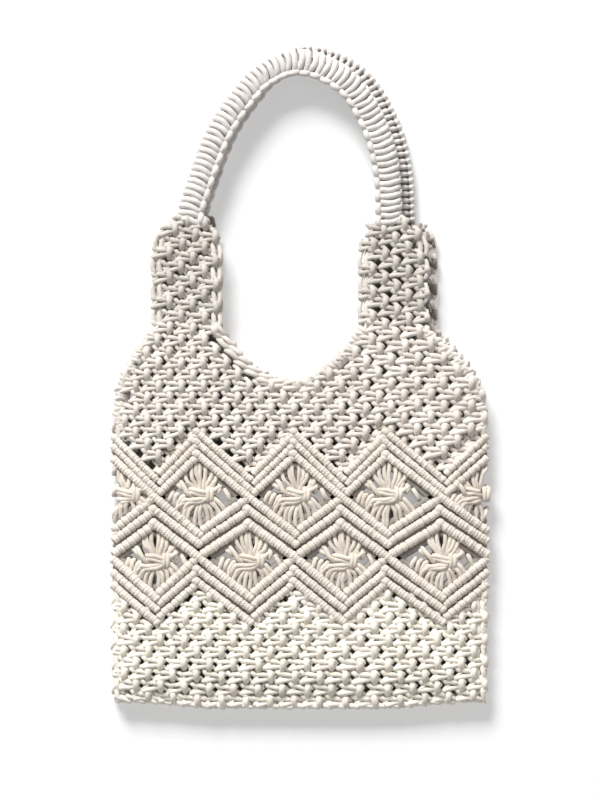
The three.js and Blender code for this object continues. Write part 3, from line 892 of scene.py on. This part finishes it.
def zigzag(name, band):
    """A band of three ribs. The stretches that run down to the right lie over the ones that run up."""
    cords = Cords(name)
    joined_valley = RIB_VALLEYS[band][-1] in (RIB_PEAKS["middle"][0], RIB_PEAKS["bottom"][0])
    joined_peak = RIB_PEAKS[band][0] in (RIB_VALLEYS["top"][-1], RIB_VALLEYS["middle"][-1])
    for rib in range(RIBS_PER_BAND):
        wide = RIB_WIDTHS[band][rib]
        at_valley = joined_valley and rib == RIBS_PER_BAND - 1
        at_peak = joined_peak and rib == 0
        for k in range(-3, 4):
            turn = k - PHASES[band]
            before, peak, after = (float(place_of_turn(name, turn + half)) for half in (-0.5, 0.0, 0.5))
            start = peak if at_peak else peak - OVER_PEAK
            end = after if at_valley else after + OVER_VALLEY
            stretches = [
                (start, end, after, DOWN_HITCH),
                (before + UNDER_VALLEY, peak - UNDER_PEAK, before, UP_HITCH),
            ]
            for start, end, valley, style in stretches:
                x = np.linspace(max(start, -PANEL_HALF), min(end, PANEL_HALF), 40)
                if x[-1] - x[0] <= SHORTEST_RIB:
                    continue
                line = np.stack([x, rib_height(band, rib, (x - peak) / (valley - peak))], axis=-1)
                hitches(cords, name, line, wide, style)
                if style is DOWN_HITCH and not at_peak:
                    rounded_end(cords, name, line[0], unit(line[1] - line[0]), wide, style[-1])
    between_ribs(cords, name, band)
    node = f"{name}_zigzag_{band}"
    cords.piece(f"{node}_cords", cotton["rib_cord"], "rib_cord", node)


def between_ribs(cords, name, band):
    """The cords deep between a band's ribs and beside them, which close the band from behind. Their dark
    colour is painted shade, standing in for the shadows between and under the ribs.
    """
    x = np.linspace(-PANEL_HALF, PANEL_HALF, 140)
    lines = [rib_line(name, band, rib, x) for rib in range(RIBS_PER_BAND)]
    deep = [(above + below) / 2 for above, below in zip(lines, lines[1:])]
    if band != "bottom":
        deep.append(lines[-1] - RIB_REACH - BELOW_BAND)
    if band != "top":
        deep.append(lines[0] + RIB_REACH + ABOVE_BAND)
    for y in deep:
        deep_cord(cords, name, np.stack([x, y], axis=-1), DEEP_RIB_RADIUS)


# Bows

def bow_turns(band):
    """The turns under which a band's diamonds lie."""
    return [k + PHASES[band] for k in range(-2, 3) if abs(k + PHASES[band]) <= 2]


# Each fan's strands by where they meet the rib, across from the bow's middle
UPPER_FAN = (-10.7, -6.4, -2.0, 2.3, 6.6, 11.0, 15.3)
LOWER_FAN = (-17.6, -12.7, -7.9, -3.0, 1.8, 6.7, 11.6, 16.4)
FAN_MIDDLE = 2.5
FAN_GATHER = {1: 0.46, -1: 0.4}
FAN_SWING = 0.8
LUMP_PLACE = 10.5
HALF_BOW_INSET = 14.0
BOW_RIM = PANEL_HALF - 2.0

# A strand's spots, by their shares of the swing, the gathering and the reach, a length more and w
FAN_SPOTS = [
    (1, 0.0, 1.0, 2.0, 3.4), (1, 0.0, 0.86, 0.0, 5.2), (1, 0.3, 0.6, 0.0, 6.2),
    (0, 0.75, 0.34, 1.0, 5.8), (0, 1.0, 0.0, 3.4, 4.6), (0, 1.0, 0.0, 0.0, 3.6),
]

# How far from the diamonds' left and right corners the cords lie that close them, dark with painted shade
# in the corners
CORNER_CORDS = {-1: (0.8, 3.8, 7.0, 10.2), 1: (0.8, 3.6, 6.6, 9.6)}
SHORTEST_HALF = 30.0

# The gathering cords and the splayed cords, as (u, v, w) from the lump
BOW_BARS = [
    [(-29.0, 13.4, 3.4), (-26.0, 10.4, 6.0), (-22.4, 4.8, 7.6), (-19.4, 0.2, 7.2), (-16.0, -1.4, 5.0)],
    [(-19.0, 5.0, 4.6), (-16.0, 4.4, 7.2), (-11.0, 3.2, 8.4), (-5.0, 1.8, 8.6), (0.0, 1.4, 7.4),
     (3.0, 2.4, 5.0)],
    [(-19.0, 1.6, 4.6), (-15.0, 1.0, 6.8), (-10.0, 0.0, 7.8), (-4.6, -1.0, 7.8), (0.0, -0.6, 6.4)],
    [(-28.0, -15.0, 3.2), (-26.8, -10.4, 5.2), (-23.6, -5.6, 6.6), (-18.6, -5.0, 7.2),
     (-12.0, -4.8, 7.6), (-5.0, -3.6, 7.6), (-1.0, -2.2, 5.6)],
    [(-23.6, -18.0, 3.2), (-22.4, -12.6, 5.4), (-19.4, -8.0, 6.6), (-14.6, -7.6, 7.0),
     (-9.0, -7.0, 7.4), (-4.4, -5.0, 7.2), (-1.0, -3.4, 5.4)],
    [(-37.6, -8.0, 3.0), (-36.2, -3.4, 5.0), (-34.6, 0.4, 4.8), (-33.4, 2.2, 2.8)],
    [(-33.0, -10.6, 3.0), (-31.8, -5.0, 5.2), (-30.4, -1.2, 5.2), (-28.0, 0.2, 3.2)],
    [(-29.6, -13.0, 3.0), (-28.4, -8.0, 5.4), (-25.4, -2.8, 5.8), (-22.0, -1.0, 4.4)],
    [(-31.4, 9.6, 3.0), (-29.0, 8.2, 5.2), (-26.4, 6.2, 5.0), (-24.6, 4.4, 3.0)],
    [(0.0, 1.4, 6.8), (4.0, 3.6, 7.6), (7.6, 5.6, 6.4), (10.4, 7.2, 3.8)],
    [(13.6, 5.4, 2.8), (15.0, 2.4, 5.0), (17.0, -1.6, 5.4), (19.0, -5.6, 3.0)],
    [(7.6, 10.0, 3.0), (8.4, 7.0, 5.0), (8.6, 3.6, 5.4), (6.4, 0.6, 4.0)],
    [(4.6, 13.0, 3.0), (3.8, 10.2, 5.4), (2.4, 6.2, 5.6), (1.2, 3.2, 4.2)],
    [(1.0, -2.6, 5.8), (5.0, -4.2, 7.2), (9.4, -8.4, 7.0), (13.6, -14.6, 5.4), (15.4, -17.4, 3.2)],
    [(0.0, -4.6, 5.2), (3.4, -8.0, 6.8), (7.4, -14.0, 6.2), (10.6, -19.0, 4.6), (12.0, -21.0, 3.0)],
]
BOW_LUMPS = [
    [(-1.6, 6.2, 4.8), (-1.6, 4.4, 8.2), (-1.4, 0.2, 9.2), (-1.6, -4.4, 8.2), (-2.0, -6.4, 4.8)],
    [(2.0, 5.6, 4.8), (2.0, 3.8, 7.8), (1.9, -0.4, 8.8), (1.4, -4.6, 7.8), (0.8, -6.6, 4.6)],
]


def through(spots):
    """Routes through spots whose u, v and w are each a number or a row of numbers."""
    return np.stack([np.stack(np.broadcast_arrays(u, v, w), axis=-1) for u, v, w in spots], axis=1)


def bow(cords, name, above, below, turn):
    """Fans of strands between the ribs, gathered by one big square knot."""
    middle = float(place_of_turn(name, turn))
    hand = turned(name)
    inset = HALF_BOW_INSET if abs(middle) > PANEL_HALF else 0.0
    x = middle - math.copysign(inset, middle)
    y = (float(band_foot(name, above, middle)) + float(band_top(name, below, middle))) / 2
    for away, fan in ((1, UPPER_FAN), (-1, LOWER_FAN)):
        fan = x + hand * np.array(fan) + rng.normal(0, 0.6, len(fan))
        fan = fan[np.abs(fan) < BOW_RIM]
        number = len(fan)
        edge = band_foot(name, above, fan) if away > 0 else band_top(name, below, fan)
        reach = np.abs(edge - y)
        from_middle = fan - x - hand * FAN_MIDDLE
        drawn_in = from_middle * (FAN_GATHER[away] - 1)
        swing = np.sign(from_middle) * FAN_SWING
        paths = through([
            (fan + swing * swings + drawn_in * gather, y + away * (reach * share + more), w)
            for swings, gather, share, more, w in FAN_SPOTS
        ])
        paths += rng.normal(0, 0.4, paths.shape)
        cords.add(paths, CORD * 0.44, 11, 7, shade=rng.normal(0.97, 0.04, number), panel=name)
    for side, steps in CORNER_CORDS.items():
        corner = float(place_of_turn(name, turn + side * hand / 2))
        if abs(corner - middle) < SHORTEST_HALF or abs(corner) >= PANEL_HALF:
            continue
        across = corner - side * hand * np.array(steps)
        high, low = band_foot(name, above, across) + 2, band_top(name, below, across) - 2
        paths = through([(across, high, 2.6), (across, (high + low) / 2, 2.2), (across, low, 2.6)])
        # Corner cords, dark with painted shade where the diamonds' corners lie in shadow
        cords.add(jitter(paths, 0.3, 0.1), CORD * 0.5, 5, 6, shade=DEEP_SHADE, panel=name)
    for bar in BOW_BARS:
        path = np.array([[(x + hand * (LUMP_PLACE + u), y + v, w) for u, v, w in bar]])
        path = path[:, np.abs(path[0, :, 0]) < BOW_RIM]
        if path.shape[1] < 2:
            continue
        path += rng.normal(0, 0.35, path.shape)
        cords.add(path, CORD * 0.49, 12, 7, shade=1.02, panel=name)
    for lump in BOW_LUMPS:
        path = np.array([[(x + hand * (LUMP_PLACE + u), y + v, w) for u, v, w in lump]])
        path += rng.normal(0, 0.2, path.shape)
        cords.add(path, CORD * 0.48, 10, 8, shade=1.02, panel=name)


def bows(name):
    cords = Cords(name)
    nodes = [f"{name}_bow_{k}" for k in range(1, 10)]
    for above, below in (("top", "middle"), ("middle", "bottom")):
        for turn in bow_turns(above):
            bow(cords, name, above, below, turn)
    cords.piece(f"{name}_bows_cords", cotton["bow_cord"], "bow_cord", *nodes)


# Handles

HANDLE_KNOT = 12.0
HANDLE_SINK = 3.0
HANDLE_CORE = 6.4

# How much the bars slant, by their share of the way from the left foot to the right one
SLANT_SHARES = (0.0, 0.35, 0.6, 1.0)
SLANTS = (0.0, 0.02, -0.1, -0.22)

# The cords of one knot of a handle, each as (along, outwards, up) from the knot's middle
HANDLE_UPPER_BAR = [
    (2.6, 8.2, -4.2), (3.0, 10.2, -1.4), (3.7, 9.2, 2.4), (4.3, 5.8, 4.5), (4.4, 1.4, 5.3),
    (3.7, -2.8, 5.0), (2.6, -6.2, 3.6), (1.8, -8.4, 0.8),
]
HANDLE_LOWER_BAR = [
    (-3.2, 8.4, -4.2), (-3.1, 10.0, -1.6), (-2.3, 8.8, 2.2), (-1.5, 5.4, 4.2), (-1.6, 1.2, 4.9),
    (-2.8, -2.8, 4.6), (-4.3, -6.0, 3.2), (-5.2, -8.2, 0.4),
]
HANDLE_BUMP = [
    (5.8, -7.6, 0.4), (4.8, -9.0, 3.2), (2.2, -9.7, 4.9), (-1.0, -9.5, 4.2), (-3.8, -8.9, 1.8),
    (-5.6, -7.8, -1.2),
]
HANDLE_LOOP = [
    (5.6, 8.8, -2.0), (4.6, 10.2, 0.0), (1.6, 10.8, 0.6), (-1.6, 10.2, -1.2), (-3.2, 9.2, -3.0),
]
HANDLE_UNDER = [(3.0, 8.0, -3.8), (1.6, 4.0, -4.7), (-0.6, -4.0, -4.7), (-1.8, -8.0, -3.2)]
HANDLE_UNDER_LOW = [(-3.0, 7.6, -3.8), (-4.2, 3.6, -4.7), (-5.2, -4.0, -4.7), (-5.6, -7.8, -3.2)]

# Each cord with its thickness and its rings
HANDLE_CORDS = [
    (HANDLE_UPPER_BAR, 1.24, 14), (HANDLE_LOWER_BAR, 1.24, 14), (HANDLE_UNDER, 1.0, 7),
    (HANDLE_UNDER_LOW, 1.0, 7), (HANDLE_BUMP, 1.3, 10), (HANDLE_LOOP, 1.0, 9),
]


def handle(name):
    """Square knots around a core: two arched bars a knot, held by a bump on the inner edge."""
    cords = Cords(name)
    panel = PANELS[name]
    left, right = panel["feet"]
    foot = SHOULDER_TOP - HANDLE_SINK
    base = panel["level"] * (HANDLE_THICKNESS + CLEARANCE)
    rise = panel["crown"] - foot
    arch = np.array([(left + a * (right - left), foot + u * rise) for a, u in HANDLE_ARCH])
    line = resample(arch[None], 240)[0]
    places, heading = along_line(line, HANDLE_KNOT)
    outer = left_of(heading)
    number = len(places)
    sign = 1.0 if panel["level"] else -1.0
    middle = base + HANDLE_THICKNESS / 2
    slant = np.interp(np.linspace(0, 1, number), SLANT_SHARES, SLANTS)
    for route, thickness, rings in HANDLE_CORDS:
        shape = varied(route, number, 0.15)
        shape[..., 0] += shape[..., 1] * slant[:, None]
        shape[..., 2] = middle + sign * shape[..., 2]
        paths = laid(places, heading, outer, shape)
        radius = thickness * CORD / 2 * rng.normal(1, 0.03, number)
        cords.add(paths, radius, rings, 7, shade=rng.normal(1, 0.03, number))
    # The hidden core, darkened with painted shade where the bars shadow it
    cords.add(at_level(line, middle), HANDLE_CORE, 80, 10, flat=0.5, shade=0.45)
    cords.piece(f"{name}_handle_cords", cotton["handle_cord"], "handle_cord", f"{name}_handle")


# Lacing around the seams

# One stitch over both panels' edges, as (along, outwards, up)
SEAM_STITCH = [
    (-6.0, -4.6, 14.6), (-4.4, -3.4, 16.8), (-1.2, -1.4, 17.0), (1.8, -0.2, 14.6),
    (3.8, 0.4, 10.6), (4.2, 0.2, 6.4), (2.6, -0.8, 3.8), (-0.6, -2.6, 2.9), (-3.6, -4.6, 3.0),
]


def lacing(name, ends, outward, pitch):
    """A cord wound around both panels' edges, from one end to the other."""
    cords = Cords()
    places, heading = along_line(ends, pitch)
    outward = np.broadcast_to(outward, places.shape)
    paths = laid(places, heading, outward, varied(SEAM_STITCH, len(places), 0.35))
    cords.add(paths, CORD * 0.48, 16, 7)
    cords.piece(f"{name}_cords", cotton["lacing_cord"], "lacing_cord", name)


# Cotton

def set_inputs(node, values):
    for name, value in values.items():
        node.inputs[name].default_value = value


def add_noise(material, place_node, scale, detail):
    noise = material.node_tree.nodes.new("ShaderNodeTexNoise")
    set_inputs(noise, {"Scale": scale, "Detail": detail})
    material.node_tree.links.new(place_node.outputs["Object"], noise.inputs["Vector"])
    return noise


def add_product(material, colour, factor):
    """Multiplies a colour by a factor, both given as sockets."""
    product = material.node_tree.nodes.new("ShaderNodeMixRGB")
    product.blend_type = "MULTIPLY"
    product.inputs["Fac"].default_value = 1.0
    material.node_tree.links.new(colour, product.inputs["Color1"])
    material.node_tree.links.new(factor, product.inputs["Color2"])
    return product


def cotton_material(name, low, high, roughness):
    """Matte spun cotton: a colour that varies in patches and flecks, with a fine twist along the cord."""
    material = bpy.data.materials.new(name)
    material.use_nodes = True
    nodes = material.node_tree.nodes
    links = material.node_tree.links
    shader = nodes["Principled BSDF"]
    set_inputs(shader, {
        "Roughness": roughness, "Specular IOR Level": 0.2, "Sheen Weight": 0.25, "Sheen Roughness": 0.6,
    })
    place_node = nodes.new("ShaderNodeTexCoord")
    patches = add_noise(material, place_node, 55.0, 4.0)
    ramp = nodes.new("ShaderNodeValToRGB")
    for element, position, colour in zip(ramp.color_ramp.elements, (0.3, 0.7), (low, high)):
        element.position = position
        element.color = (*colour, 1)
    links.new(patches.outputs["Fac"], ramp.inputs["Fac"])
    # The shade attribute multiplies the colour: painted shade on the deep cords, the cores and the cords
    # behind the knots, the shoulders' grey and a small random tone elsewhere
    shade = nodes.new("ShaderNodeAttribute")
    shade.attribute_name = "shade"
    flecks = add_noise(material, place_node, 480.0, 3.0)
    fleck_shade = nodes.new("ShaderNodeMapRange")
    set_inputs(fleck_shade, {"From Min": 0.3, "From Max": 0.7, "To Min": 0.88, "To Max": 1.07})
    links.new(flecks.outputs["Fac"], fleck_shade.inputs["Value"])
    flecked = add_product(material, ramp.outputs["Color"], fleck_shade.outputs["Result"])
    darkened = add_product(material, flecked.outputs["Color"], shade.outputs["Fac"])
    links.new(darkened.outputs["Color"], shader.inputs["Base Color"])
    cord_uv = nodes.new("ShaderNodeUVMap")
    cord_uv.uv_map = "cord"
    stretch = nodes.new("ShaderNodeMapping")
    set_inputs(stretch, {"Rotation": (0.0, 0.0, 0.9)})
    links.new(cord_uv.outputs["UV"], stretch.inputs["Vector"])
    twist = nodes.new("ShaderNodeTexWave")
    set_inputs(twist, {"Scale": 3.2, "Distortion": 1.0, "Detail": 2.0})
    links.new(stretch.outputs["Vector"], twist.inputs["Vector"])
    fibre = add_noise(material, place_node, 900.0, 3.0)
    both = nodes.new("ShaderNodeMath")
    both.operation = "ADD"
    links.new(twist.outputs["Fac"], both.inputs[0])
    links.new(fibre.outputs["Fac"], both.inputs[1])
    bump = nodes.new("ShaderNodeBump")
    set_inputs(bump, {"Strength": 0.35, "Distance": 0.0004})
    links.new(both.outputs["Value"], bump.inputs["Height"])
    links.new(bump.outputs["Normal"], shader.inputs["Normal"])
    return material


# Camera, floor and light

PHOTO_WIDTH_M = 0.552
PHOTO_PIXELS = (600, 800)
PHOTO_MIDDLE_Y = 279.7
CAMERA_HEIGHT = 3.2
SUBJECT_HEIGHT = 0.02

# Half the floor's width, how far it lies under the bag, its grey and its glow
FLOOR_REACH = 6.0
FLOOR_DROP = 0.0012
FLOOR_GREY = 0.62
FLOOR_GLOW = 0.32


def add_camera():
    data = bpy.data.cameras.new("camera")
    data.sensor_fit = "VERTICAL"
    data.sensor_height = 24.0
    photo_height = PHOTO_WIDTH_M * PHOTO_PIXELS[1] / PHOTO_PIXELS[0]
    data.lens = data.sensor_height * (CAMERA_HEIGHT - SUBJECT_HEIGHT) / photo_height
    data.clip_start = 0.05
    data.clip_end = 50
    camera = bpy.data.objects.new("camera", data)
    camera.location = (0, PHOTO_MIDDLE_Y * MM + SEAM_Y, CAMERA_HEIGHT)
    bpy.context.scene.collection.objects.link(camera)
    bpy.context.scene.camera = camera


def add_floor():
    mesh = bpy.data.meshes.new("floor")
    signs = [(-1, -1), (1, -1), (1, 1), (-1, 1)]
    mesh.from_pydata([(x * FLOOR_REACH, y * FLOOR_REACH, 0) for x, y in signs], [], [(0, 1, 2, 3)])
    material = bpy.data.materials.new("floor")
    material.use_nodes = True
    shader = material.node_tree.nodes["Principled BSDF"]
    set_inputs(shader, {
        "Base Color": (FLOOR_GREY, FLOOR_GREY, FLOOR_GREY, 1), "Emission Color": (1, 1, 1, 1),
        "Emission Strength": FLOOR_GLOW, "Roughness": 0.9, "Specular IOR Level": 0.1,
    })
    mesh.materials.append(material)
    floor = bpy.data.objects.new("floor", mesh)
    floor.location.z = -FLOOR_DROP
    bpy.context.scene.collection.objects.link(floor)


def add_light(name, place_at, size, power):
    """A square white light that shines at the bag's middle."""
    data = bpy.data.lights.new(name, "AREA")
    data.shape = "SQUARE"
    data.size = size
    data.energy = power
    light = bpy.data.objects.new(name, data)
    light.location = place_at
    aim = Vector((0, 0, 0)) - Vector(place_at)
    light.rotation_euler = aim.to_track_quat("-Z", "Y").to_euler()
    bpy.context.scene.collection.objects.link(light)


# The scene

add_camera()
add_floor()
add_light("key", (-2.2, 6.1, 4.65), size=2.8, power=920)
add_light("fill", (0.6, -1.4, 2.8), size=2.4, power=8)
world = bpy.data.worlds.new("studio")
world.use_nodes = True
set_inputs(world.node_tree.nodes["Background"], {"Color": (1, 1, 1, 1), "Strength": 0.33})
bpy.context.scene.world = world
bpy.context.scene.view_settings.view_transform = "Standard"

cotton = {
    "net_cord": cotton_material("net_cotton", (0.70, 0.64, 0.58), (0.81, 0.75, 0.685), 0.95),
    "lower_net": cotton_material("lower_net_cotton", (0.82, 0.765, 0.67), (0.93, 0.875, 0.785), 0.95),
    "rib_cord": cotton_material("rib_cotton", (0.685, 0.62, 0.545), (0.785, 0.72, 0.645), 0.93),
    "bow_cord": cotton_material("bow_cotton", (0.66, 0.59, 0.51), (0.78, 0.71, 0.62), 0.95),
    "handle_cord": cotton_material("handle_cotton", (0.68, 0.64, 0.61), (0.78, 0.74, 0.71), 0.95),
    "lacing_cord": cotton_material("lacing_cotton", (0.71, 0.65, 0.58), (0.81, 0.75, 0.68), 0.95),
}

for panel_name in PANELS:
    upper_net(panel_name)
    lower_net(panel_name)
    for band_name in PHASES:
        zigzag(panel_name, band_name)
    bows(panel_name)
    handle(panel_name)

left_ends = (-PANEL_HALF, LACING_TOP), (-PANEL_HALF, SEAM_START)
right_ends = (PANEL_HALF, SEAM_START), (PANEL_HALF, LACING_TOP)
bottom_ends = (-BOTTOM_LACING_HALF, PANEL_BOTTOM), (BOTTOM_LACING_HALF, PANEL_BOTTOM)
lacing("side_lacing_left", left_ends, (-1, 0), SIDE_LACING_PITCH)
lacing("side_lacing_right", right_ends, (1, 0), SIDE_LACING_PITCH)
lacing("bottom_lacing", bottom_ends, (0, -1), BOTTOM_LACING_PITCH)
